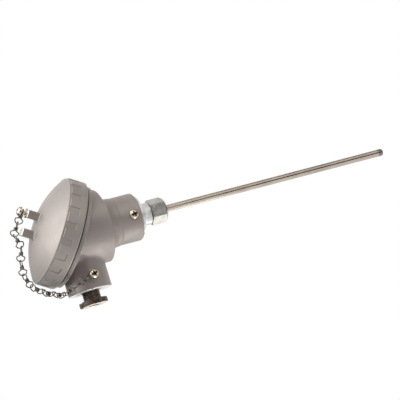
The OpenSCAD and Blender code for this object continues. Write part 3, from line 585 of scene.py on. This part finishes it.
points, faces, normals = surface_net(gland_distance, (-64, -13, 70), (-39, 13, 96.2), 0.42)
gland_screw = new_piece("gland_screw", points, faces, gland_brown, "gland_screw",
                        normals)
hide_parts("gland_nut")

black_rubber, tree, shader = new_material("black_rubber", (0.03, 0.03, 0.032), 0.0, 0.62)
matt = noise(tree, object_point(tree), 1500, 4)
coloured(tree, shader, matt, (0.022, 0.022, 0.024), (0.05, 0.049, 0.048))
bumped(tree, shader, matt, 0.2, 0.00006)
finish_nodes(black_rubber, "gland_grommet", "lid_gasket")

# --- Lid ----------------------------------------------------------------------------------
# The screw lid is a second casting in the same enamel: a dome, a rim with a castellated grip,
# and two lugs for a spanner bar that grow out of the dome with a small fillet.
rim_radius, rim_foot, grip_foot, grip_top, rim_top = 45.7, 0.5, 6.3, 14.9, 16.3
grip_count, grip_step, dome_height, lid_wall = 21, 0.8, 14.4, 3.6
skirt_radius, skirt_top = 41.2, 12.1
dome_edge = rim_radius - grip_step
dome_radius = (dome_edge ** 2 + dome_height ** 2) / (2 * dome_height)
dome_centre = rim_top + dome_height - dome_radius
lug_turn, lug_pitch, lug_top = math.radians(-13), 15.6, rim_top + dome_height + 9.4
lug_flat, lug_corner, lug_ease, lug_fillet, lug_columns = np.array([2.6, 7.1]), 0.7, 0.5, 1.5, 96
lug_hole, lug_hole_depth = 1.85, 7.5


def rise(value, middle, width):
    """0 below a value and 1 above it, with a smooth step of the given half width between."""
    share = np.clip((value - middle) / (2 * width) + 0.5, 0, 1)
    return share * share * (3 - 2 * share)


def lid_profile():
    """The lid's half section as radius and height, from the apex over the dome and the rounded
    rim, under the skirt and up inside to the hollow's apex. Rows crowd at the grip's edges."""
    bow = math.asin((dome_edge - 0.7) / dome_radius)
    sweep = np.linspace(0.002, bow, 46)
    dome = np.stack([dome_radius * np.sin(sweep), dome_centre + dome_radius * np.cos(sweep)], 1)
    foot = np.array([dome_edge, dome[-1, 1] - 0.85])
    knee = np.array([dome_edge - 0.02, dome[-1, 1] - 0.12])
    share = np.linspace(0, 1, 7)[1:-1, None]
    edge = dome[-1] * (1 - share) ** 2 + 2 * knee * share * (1 - share) + foot * share ** 2
    near = np.array([0.34, 0.17, 0.08, 0.0, -0.08, -0.17, -0.34])
    heights = np.concatenate([foot[1:], grip_top + near, np.linspace(grip_top - 1, grip_foot + 1, 6),
                              grip_foot + near, np.linspace(grip_foot - 1, rim_foot + 1.2, 5)])
    wall = np.stack([np.full(len(heights), rim_radius), heights], 1)
    quarter = np.linspace(0, math.pi / 2, 7)[1:, None]
    toe = np.array([rim_radius - 1, rim_foot + 1]) + np.hstack([np.cos(quarter), -np.sin(quarter)])
    hollow = dome_radius - lid_wall
    reach = np.linspace(math.asin((skirt_radius - 1.5) / hollow), 0.002, 30)
    roof = np.stack([hollow * np.sin(reach), dome_centre + hollow * np.cos(reach)], 1)
    inside = np.array([[skirt_radius + 0.3, rim_foot], [skirt_radius, rim_foot + 0.3],
                       [skirt_radius, 4.0], [skirt_radius, 8.0], [skirt_radius, skirt_top - 0.2],
                       [skirt_radius - 0.2, skirt_top], [skirt_radius - 1.4, skirt_top],
                       [skirt_radius - 1.5, skirt_top + 0.1]])
    return np.concatenate([dome, edge, wall, toe, inside, roof])


def lid_rings():
    """The lid's skin as rings: the profile turned about the axis, its radius less the grip's
    step above the pads and between them. Columns crowd at the edges of the pads."""
    near = np.array([-0.0062, -0.003, 0, 0.003, 0.0062])
    half = 0.21 * 2 * math.pi / grip_count
    half_pitch = math.pi / grip_count
    one = np.concatenate([np.linspace(-half_pitch, -half - 0.012, 5), -half + near,
                          np.linspace(-half + 0.012, half - 0.012, 5), half + near,
                          np.linspace(half + 0.012, half_pitch, 5)[:-1]])
    turn = ((np.arange(grip_count) + 0.5)[:, None] * 2 * half_pitch + one).ravel()
    from_groove = np.abs((turn / (2 * half_pitch)) % 1 - 0.5) * 2 * half_pitch
    pad = rise(from_groove * rim_radius, half * rim_radius, 0.16)
    radius, height = lid_profile().T[..., None]
    outside = (radius > dome_edge + 0.02) & (height > rim_foot + 1)
    step = rise(height, grip_foot, 0.16) * (1 - pad) + rise(height, grip_top, 0.16) * pad
    radius = radius - grip_step * step * outside
    return np.stack([radius * np.cos(turn), radius * np.sin(turn), height + 0 * radius], -1)


def lug_rings(side, hole_radius, hole_depth):
    """One lug as rings from the middle of its top down: out to a rounded rectangle, over the
    eased edge, down the sides and out along the fillet into the dome."""
    around = np.linspace(0, 2 * math.pi, lug_columns, endpoint=False)
    out = np.stack([np.cos(around), np.sin(around)], 1)

    def outline(offset):
        """The lug's plan at an offset from its walls, its points spread evenly along it."""
        dense = np.linspace(0, 2 * math.pi, 4800, endpoint=False)
        away = np.stack([np.cos(dense), np.sin(dense)], 1)
        fine = np.sign(away) * lug_flat + (lug_corner + offset) * away
        run = np.concatenate([[0], np.cumsum(np.linalg.norm(np.roll(fine, -1, 0) - fine, axis=1))])
        want = np.arange(lug_columns) / lug_columns * run[-1]
        loop = np.concatenate([fine, fine[:1]])
        return np.stack([np.interp(want, run, loop[:, k]) for k in (0, 1)], 1)

    plans = []
    if hole_radius:
        for depth in (hole_depth, hole_depth - 0.01, 0.15):
            plans.append((hole_radius * out, lug_top - depth, None))
    else:
        plans.append((0.02 * out, lug_top, None))
    base = outline(-lug_ease)
    start = (hole_radius or 0.02) * out
    for share in (0.05, 0.35, 0.7):
        plans.append((start + (base - start) * share, lug_top, None))
    for tilt in np.linspace(0, math.pi / 2, 5):
        plans.append((outline(lug_ease * (math.sin(tilt) - 1)),
                      lug_top - lug_ease * (1 - math.cos(tilt)), None))
    for share in np.linspace(0.08, 1, 8):
        plans.append((outline(0.0), None, (share, lug_fillet)))
    for tilt in np.linspace(0.15, math.pi / 2, 8):
        plans.append((outline(lug_fillet * (1 - math.cos(tilt))), None,
                      (1, lug_fillet * (1 - math.sin(tilt)))))
    plans.append((outline(lug_fillet + 0.2), None, (1, -0.6)))
    rings = []
    for plan, height, lift in plans:
        turned = plan + [side * lug_pitch / 2, 0]
        turned = turned @ np.array([[math.cos(lug_turn), math.sin(lug_turn)],
                                    [-math.sin(lug_turn), math.cos(lug_turn)]])
        if height is None:
            dome = dome_centre + np.sqrt(dome_radius ** 2 - (turned ** 2).sum(1)) + lift[1]
            height = dome * lift[0] + (lug_top - lug_ease) * (1 - lift[0])
        rings.append(np.column_stack([turned, height + np.zeros(lug_columns)]))
    return np.stack(rings)


lid_enamel = enamel("lid_enamel", (0.41, 0.370, 0.345), (0.345, 0.308, 0.285))
points, faces = closed_skin(lid_rings())
for rings in (lug_rings(1, lug_hole, lug_hole_depth), lug_rings(-1, 0, 0)):
    more, extra = closed_skin(rings)
    faces += [[n + len(points) for n in face] for face in extra]
    points = np.concatenate([points, more])
screw_lid = new_piece("screw_lid", from_lid(points), faces, lid_enamel, "screw_lid")
# The lug tops are marked as near-white unpainted metal, their brightness partly a painted highlight.
mark(screw_lid, "bare_and_highlight", (points[:, 2] - lug_top + 0.3) / 0.2)
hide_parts("lid")

# --- Chain --------------------------------------------------------------------------------
# A chain of knotted steel wire keeps the lid on the head: every link is one wire, looped at both
# ends at right angles and wound round its own waist. A washered screw holds each end.
finish_nodes(screw_nickel, "lug_washers", "chain_anchor_washer")
pan_nickel, tree, shader = new_material("pan_nickel", (0.70, 0.60, 0.46), 1.0, 0.24)
worn = noise(tree, object_point(tree), 900, 4, 0.6)
plated = blend_colours(tree, ramp(tree, worn, 0.35, 0.7),
                       (0.78, 0.69, 0.55), (0.44, 0.33, 0.21))
recess = tree.nodes.new("ShaderNodeAttribute")
recess.attribute_name = "recess"
# The marked cross recess is painted near-black brown: painted shade inside it.
coloured(tree, shader, recess.outputs["Fac"], plated, (0.045, 0.028, 0.016))
roughened(tree, shader, recess.outputs["Fac"], 0, 1, 0.2, 0.7)
bumped(tree, shader, worn, 0.1, 0.00004)


def pan_screw(name, node, body, seat, out, across, head_radius, head_height, shank, length):
    """A pan-head screw standing on a seat along a direction: a cap melted into a short rim, a
    shank below, and a cross recess of two tapered slots. The recess is marked for its painted shade."""
    rim = 0.35 * head_height
    cap_height = head_height - rim
    cap_radius = (head_radius ** 2 + cap_height ** 2) / (2 * cap_height)

    def cross(p):
        """Distance to the recess: two crossed slots that narrow towards their floor."""
        reach = np.abs(p[:, :2])
        depth = np.clip((head_height - p[:, 2]) / head_height, 0, 1)
        long, short = head_radius * (0.68 - 0.25 * depth), head_radius * (0.16 - 0.05 * depth)
        wing = np.minimum(np.maximum(reach[:, 0] - long, reach[:, 1] - short),
                          np.maximum(reach[:, 1] - long, reach[:, 0] - short))
        return np.maximum(wing, 0.45 * head_height - p[:, 2])

    def distance(p):
        """Distance to the screw's skin in its own axes, its seat at height 0."""
        r, z = np.hypot(p[:, 0], p[:, 1]), p[:, 2]
        cap = np.hypot(r, z - rim + cap_radius - cap_height) - cap_radius
        head = meet(meet(cap, r - head_radius, 0.35), -z, 0.2)
        return cut(melt(head, drum(r, z, shank, -length, 0.5, 0.2), 0.15), cross(p), 0.12)

    span = head_radius + 0.8
    points, faces, normals = surface_net(distance, (-span, -span, -length - 0.7),
                                         (span, span, head_height + 0.8), 0.24)
    axes = np.stack([across, np.cross(out, across), out])
    piece = new_piece(name, np.asarray(seat) + points @ axes, faces, pan_nickel, body,
                      normals @ axes)
    mark(piece, "recess", 1 - cross(points) / 0.14)
    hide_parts(node)


front_way = np.array([0.0, -1.0, 0.0])
slot_way = np.array([math.cos(math.radians(20)), 0.0, math.sin(math.radians(20))])
pan_screw("neck_lock_screw", "neck_set_screw", "root", (0, -20.2, lock_screw_height),
          front_way, slot_way, 3.9, 2.4, 2.0, 12.1)
pan_screw("chain_end_screw", "chain_anchor_screw", "root", (-anchor_reach, -22.3, boss_axis_height),
          front_way, slot_way, 3.85, 2.6, 1.75, 10.8)
lug_seat = from_lid(np.array([lug_pitch / 2 * math.cos(lug_turn),
                              lug_pitch / 2 * math.sin(lug_turn), lug_top + 5.8]))
pan_screw("chain_lug_screw", "lug_screw", "screw_lid", lug_seat, lid_up, lid_side,
          3.85, 2.6, 1.75, 12.8)

chain_wire, link_count, loop_width, link_overlap = 0.475, 12, 6.8, 1.2
link_twist, link_waist = math.radians(270), 0.62
eye_hook, last_eye = 2.025, -20.825


def along_route(points, count):
    """A Catmull-Rom curve through the points, as a fine polyline and its running length."""
    points = np.asarray(points, float)
    t = np.linspace(0, len(points) - 1, 241)
    i = np.minimum(t.astype(int), len(points) - 2)
    f = (t - i)[:, None]
    a, b = points[np.maximum(i - 1, 0)], points[i]
    c, d = points[i + 1], points[np.minimum(i + 2, len(points) - 1)]
    curve = 0.5 * (2 * b + (c - a) * f + (2 * a - 5 * b + 4 * c - d) * f ** 2
                   + (3 * b - a - 3 * c + d) * f ** 3)
    run = np.concatenate([[0], np.cumsum(np.linalg.norm(np.diff(curve, axis=0), axis=1))])
    want = np.linspace(0, run[-1], count)
    return np.stack([np.interp(want, run, curve[:, k]) for k in range(3)], 1)


def beside_lugs(x, y, z):
    """A point along the lid's axes, given along the lugs."""
    return [math.cos(lug_turn) * x - math.sin(lug_turn) * y,
            math.sin(lug_turn) * x + math.cos(lug_turn) * y, z]


def beside_lid(radius, degrees, height):
    """A point along the lid's axes, given round them from the cable entry's side."""
    return [-radius * math.cos(math.radians(degrees)), radius * math.sin(math.radians(degrees)),
            height]


def dome_at(radius):
    """Height of the dome's skin at a radius."""
    return dome_centre + math.sqrt(dome_radius ** 2 - radius ** 2)


def unit(v):
    """Vectors brought to length 1."""
    return v / np.linalg.norm(v, axis=-1, keepdims=True)


def tubes(path, hint, radius, sides, joined):
    """Round wires along paths (wire, station, 3): a ring at each station square to the path,
    its first point toward the hint. Returns points and outward faces."""
    ahead, behind = np.roll(path, -1, 1), np.roll(path, 1, 1)
    if not joined:
        ahead[:, -1], behind[:, 0] = path[:, -1], path[:, 0]
    along = unit(ahead - behind)
    first = unit(hint - (hint * along).sum(-1, keepdims=True) * along)
    second = np.cross(along, first)
    turn = np.linspace(0, 2 * math.pi, sides, endpoint=False)
    rings = (path[:, :, None] + radius * (np.cos(turn)[:, None] * first[:, :, None]
                                          + np.sin(turn)[:, None] * second[:, :, None]))
    wires, stations = path.shape[:2]
    number = np.arange(wires * stations * sides).reshape(wires, stations, sides)
    quads = np.stack([number, np.roll(number, -1, 2), np.roll(np.roll(number, -1, 2), -1, 1),
                      np.roll(number, -1, 1)], -1)
    points, faces = rings.reshape(-1, 3), quads.reshape(-1, 4).tolist()
    if not joined:
        faces = quads[:, :-1].reshape(-1, 4).tolist()
        faces += [list(reversed(ring)) for ring in number[:, 0].tolist()]
        faces += number[:, -1].tolist()
    return points, faces


def chain_links(route):
    """The links between the route's points, and the wire wound round each waist. A link's half
    width and its turn are smooth steps of the distance from its middle."""
    start, end = from_lid(route[:-1]), from_lid(route[1:])
    f = np.linspace(0, 1, link_count)[:, None]
    along, away = unit(end - start), unit((1 - f) * lid_up + f * np.array([0, -1, 0]))
    side = unit(np.cross(along, away))
    up = np.cross(along, side)
    roll = math.pi / 2 * f
    e1 = np.cos(roll) * side + np.sin(roll) * up
    e2 = np.cross(along, e1)
    loop = (np.linalg.norm(end - start, axis=1).mean() + link_overlap) / 2 - loop_width / 2
    a = np.linspace(-loop, loop, 27)
    open_share = np.clip((np.abs(a) / loop - 0.3) / 0.7, 0, 1)
    width = link_waist + (loop_width / 2 - link_waist) * np.sin(math.pi / 2 * open_share) ** 2
    psi = np.linspace(math.pi / 2, -math.pi / 2, 19)[1:-1]
    x = np.concatenate([a, loop + loop_width / 2 * np.cos(psi),
                        -a, -loop - loop_width / 2 * np.cos(psi)])
    w = np.concatenate([width, loop_width / 2 * np.sin(psi), -width, -loop_width / 2 * np.sin(psi)])
    hint_x = np.concatenate([0 * a, np.cos(psi), 0 * a, -np.cos(psi)])
    hint_w = np.concatenate([1 + 0 * a, np.sin(psi), -1 + 0 * a, -np.sin(psi)])
    turn = link_twist * np.clip(x / loop / 0.6 + 0.5, 0, 1)

    def placed(p, q, t):
        """A vector p along each link and q across it at a turn, as (link, station, 3)."""
        cross = (np.cos(t)[:, None] * e1[:, None] + np.sin(t)[:, None] * e2[:, None])
        return p[:, None] * along[:, None] + q[:, None] * cross

    middle = ((start + end) / 2)[:, None]
    links = tubes(middle + placed(x, w, turn), placed(hint_x, hint_w, turn), chain_wire, 12, True)
    wound = np.linspace(0, 1, 76)
    spin = wound * 3.4 * 2 * math.pi
    coil_x, coil_r = (wound - 0.5) * 3.3, np.full(76, link_waist + 1.75 * chain_wire)
    coils = tubes(middle + placed(coil_x, coil_r, spin), placed(0 * spin, 1 + 0 * spin, spin),
                  chain_wire * 0.92, 9, False)
    return links, coils


anchor = np.array([-anchor_reach, last_eye, boss_axis_height]) - lid_centre
anchor = np.array([anchor @ lid_side, anchor[1], anchor @ lid_up])
last_way = unit(np.array([7, 0.9, -6]))
route = along_route([
    beside_lugs(lug_pitch / 2 + eye_hook, 0, lug_top + 0.8 + 0.56 * 4.2),
    beside_lugs(-1, 0.6, lug_top + 0.8 + 0.56 * 4.2 + 1),
    beside_lugs(-lug_pitch / 2 - 2, 3.8, lug_top + 6.2),
    beside_lid(lug_pitch / 2 + 8.5, 26, rim_top + dome_height + 7.4),
    beside_lid(25, 25, dome_at(25) + 6), beside_lid(35, 23, dome_at(35) + 9),
    beside_lid(rim_radius - 1, 19, rim_top + 7), beside_lid(rim_radius + 4.8, 13, rim_top - 1.5),
    beside_lid(rim_radius + 5, 6, rim_top - 9), beside_lid(rim_radius + 6, -2, rim_foot + 2),
    beside_lid(rim_radius + 8, -10, -3.5), beside_lid(rim_radius + 7, -18, -7),
    anchor + [-15, -1.9, 12.5], anchor + [-7, -1.1, 6], anchor + eye_hook * last_way],
    link_count + 1)
links, coils = chain_links(route)

chain_steel, tree, shader = new_material("chain_steel", (0.30, 0.28, 0.26), 1.0, 0.34)
soot = noise(tree, object_point(tree), 400, 5, 0.6)
coloured(tree, shader, ramp(tree, soot, 0.35, 0.7),
         (0.25, 0.225, 0.205), (0.08, 0.068, 0.06))
bumped(tree, shader, soot, 0.2, 0.00005)
points = np.concatenate([links[0], coils[0]])
faces = links[1] + [[n + len(links[0]) for n in face] for face in coils[1]]
knotted_chain = new_piece("knotted_chain", points, faces, chain_steel, None)
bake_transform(knotted_chain)
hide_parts("retaining_chain")

# --- Stage --------------------------------------------------------------------------------
# A white sweep that the camera sees as plain white, soft lamps round the probe, a dark flag and
# card that shade the enamel, and fans laid over the floor, whose image in the metal is the dark
# line along the sheath and the dark flat of the nut.
image_right = np.array([-0.2922, -0.3116, -0.9042])
image_down = np.array([-0.9502, 0.2018, 0.2375])
image_right = image_right / np.linalg.norm(image_right)
image_down = image_down - (image_down @ image_right) * image_right
image_down = image_down / np.linalg.norm(image_down)
view_forward = np.cross(image_right, image_down)
view_middle = np.array([0, 0, 0.0269]) + 0.05395 * image_right - 0.01396 * image_down

camera_data = bpy.data.cameras.new("camera")
camera = bpy.data.objects.new("camera", camera_data)
bpy.context.scene.collection.objects.link(camera)
camera_data.sensor_width = 36
camera_data.lens = 331.8
camera_away = 3.052
camera_data.clip_end = 20


def facing(obj, place, right, down):
    """Puts a camera or lamp at a place, with its picture's right and down directions given."""
    matrix = np.eye(4)
    matrix[:3, 0], matrix[:3, 1] = right, -np.asarray(down)
    matrix[:3, 2] = np.cross(matrix[:3, 0], matrix[:3, 1])
    matrix[:3, 3] = place
    obj.matrix_world = Matrix(matrix.tolist())


facing(camera, view_middle - view_forward * camera_away, image_right, image_down)
bpy.context.scene.camera = camera


def soft_lamp(name, toward, away, width, height, power):
    """An area lamp on the far side of a direction given as right, down and forward parts."""
    toward = toward[0] * image_right + toward[1] * image_down + toward[2] * view_forward
    toward = toward / np.linalg.norm(toward)
    data = bpy.data.lights.new(name, "AREA")
    data.shape, data.size, data.size_y, data.energy = "RECTANGLE", width, height, power
    lamp = bpy.data.objects.new(name, data)
    bpy.context.scene.collection.objects.link(lamp)
    side = np.cross(toward, image_right)
    side = side / np.linalg.norm(side)
    facing(lamp, view_middle - toward * away, np.cross(side, toward), side)
    return lamp


soft_lamp("lamp_left", (1.0, 0.30, 0.20), 1.3, 1.3, 1.3, 17)
soft_lamp("lamp_top", (0.10, 0.70, 0.65), 1.1, 1.2, 0.5, 5)
soft_lamp("lamp_under", (-0.67, -0.92, 0.20), 1.0, 0.9, 0.6, 11.5)
soft_lamp("lamp_low", (-0.46, -0.81, -0.38), 0.5, 0.35, 0.25, 0.3)


def seen_white(tree, glossy_share):
    """A value of 1 for what the camera sees directly or through glass, less in the metal."""
    path = tree.nodes.new("ShaderNodeLightPath")
    seen = tree.nodes.new("ShaderNodeMath")
    seen.operation = "MAXIMUM"
    tree.links.new(path.outputs["Is Camera Ray"], seen.inputs[0])
    tree.links.new(path.outputs["Is Transmission Ray"], seen.inputs[1])
    value = tree.nodes.new("ShaderNodeMath")
    value.operation = "MULTIPLY_ADD"
    value.use_clamp = True
    tree.links.new(path.outputs["Is Glossy Ray"], value.inputs[0])
    value.inputs[1].default_value = glossy_share
    tree.links.new(seen.outputs[0], value.inputs[2])
    return value.outputs[0]


world = bpy.data.worlds.new("white_room")
bpy.context.scene.world = world
world.use_nodes = True
sky = world.node_tree.nodes["Background"]
strength = ramp(world.node_tree, seen_white(world.node_tree, 0.75), 0, 1, 0.36, 1.0)
world.node_tree.links.new(strength, sky.inputs["Strength"])
sky.inputs["Color"].default_value = (1, 1, 1, 1)


def stage_plane(name, centre, half_across, half_up, material):
    """A flat sheet of the set, given by its middle and two half sides."""
    mesh = bpy.data.meshes.new(name)
    corners = [centre + a * half_across + b * half_up for a, b in ((-1, -1), (1, -1), (1, 1), (-1, 1))]
    mesh.from_pydata([list(c) for c in corners], [], [(0, 1, 2, 3)])
    mesh.materials.append(material)
    sheet = bpy.data.objects.new(name, mesh)
    bpy.context.scene.collection.objects.link(sheet)
    return sheet


floor_white, tree, shader = new_material("floor_white", (0.66, 0.66, 0.66), 0.0, 0.9)
glow = tree.nodes.new("ShaderNodeEmission")
mixed = tree.nodes.new("ShaderNodeMixShader")
tree.links.new(seen_white(tree, 0.8), mixed.inputs["Fac"])
tree.links.new(shader.outputs[0], mixed.inputs[1])
tree.links.new(glow.outputs[0], mixed.inputs[2])
tree.links.new(mixed.outputs[0], tree.nodes["Material Output"].inputs["Surface"])
stage_plane("floor", np.array([0, 0, -0.24]), np.array([6.0, 0, 0]), np.array([0, 6.0, 0]),
            floor_white)

flag_black, tree, shader = new_material("flag_black", (0.03, 0.028, 0.026), 0.0, 0.9)
flag = stage_plane("dark_flag", view_middle - view_forward * 1.5 + image_right * 0.9
                   - image_down * 0.3, image_right * 1.6, image_down * 0.85, flag_black)
flag.visible_camera = False
card = stage_plane("dark_card", view_middle - image_right * 1.0 + image_down * 1.0,
                   (image_right + image_down) * 0.6, view_forward * 0.9, flag_black)
card.visible_camera = False



def floor_fan(name, first, last, reach, height, colour):
    """A matt sheet laid just over the floor, a fan about the sheath's axis between two bearings
    in degrees from the camera's side. Its image is a straight line along the whole sheath."""
    card_matt, tree, shader = new_material(name, colour, 0.0, 0.9)
    bearing = math.atan2(-view_forward[1], -view_forward[0]) + np.radians(np.linspace(first, last, 13))
    arc = np.stack([reach * np.cos(bearing), reach * np.sin(bearing), 0 * bearing + height], 1)
    mesh = bpy.data.meshes.new(name)
    mesh.from_pydata([(0, 0, height)] + arc.tolist(), [], [(0, n, n + 1) for n in range(1, 13)])
    mesh.materials.append(card_matt)
    fan = bpy.data.objects.new(name, mesh)
    bpy.context.scene.collection.objects.link(fan)
    fan.visible_camera = False


floor_fan("dark_fan", -9, 22, 0.62, -0.2385, (0.03, 0.028, 0.026))
floor_fan("brown_fan", 80, 112, 0.62, -0.2385, (0.16, 0.14, 0.12))
floor_fan("grey_fan", -12, 112, 0.69, -0.2392, (0.74, 0.71, 0.68))

view_settings = bpy.context.scene.view_settings
view_settings.view_transform = "Standard"
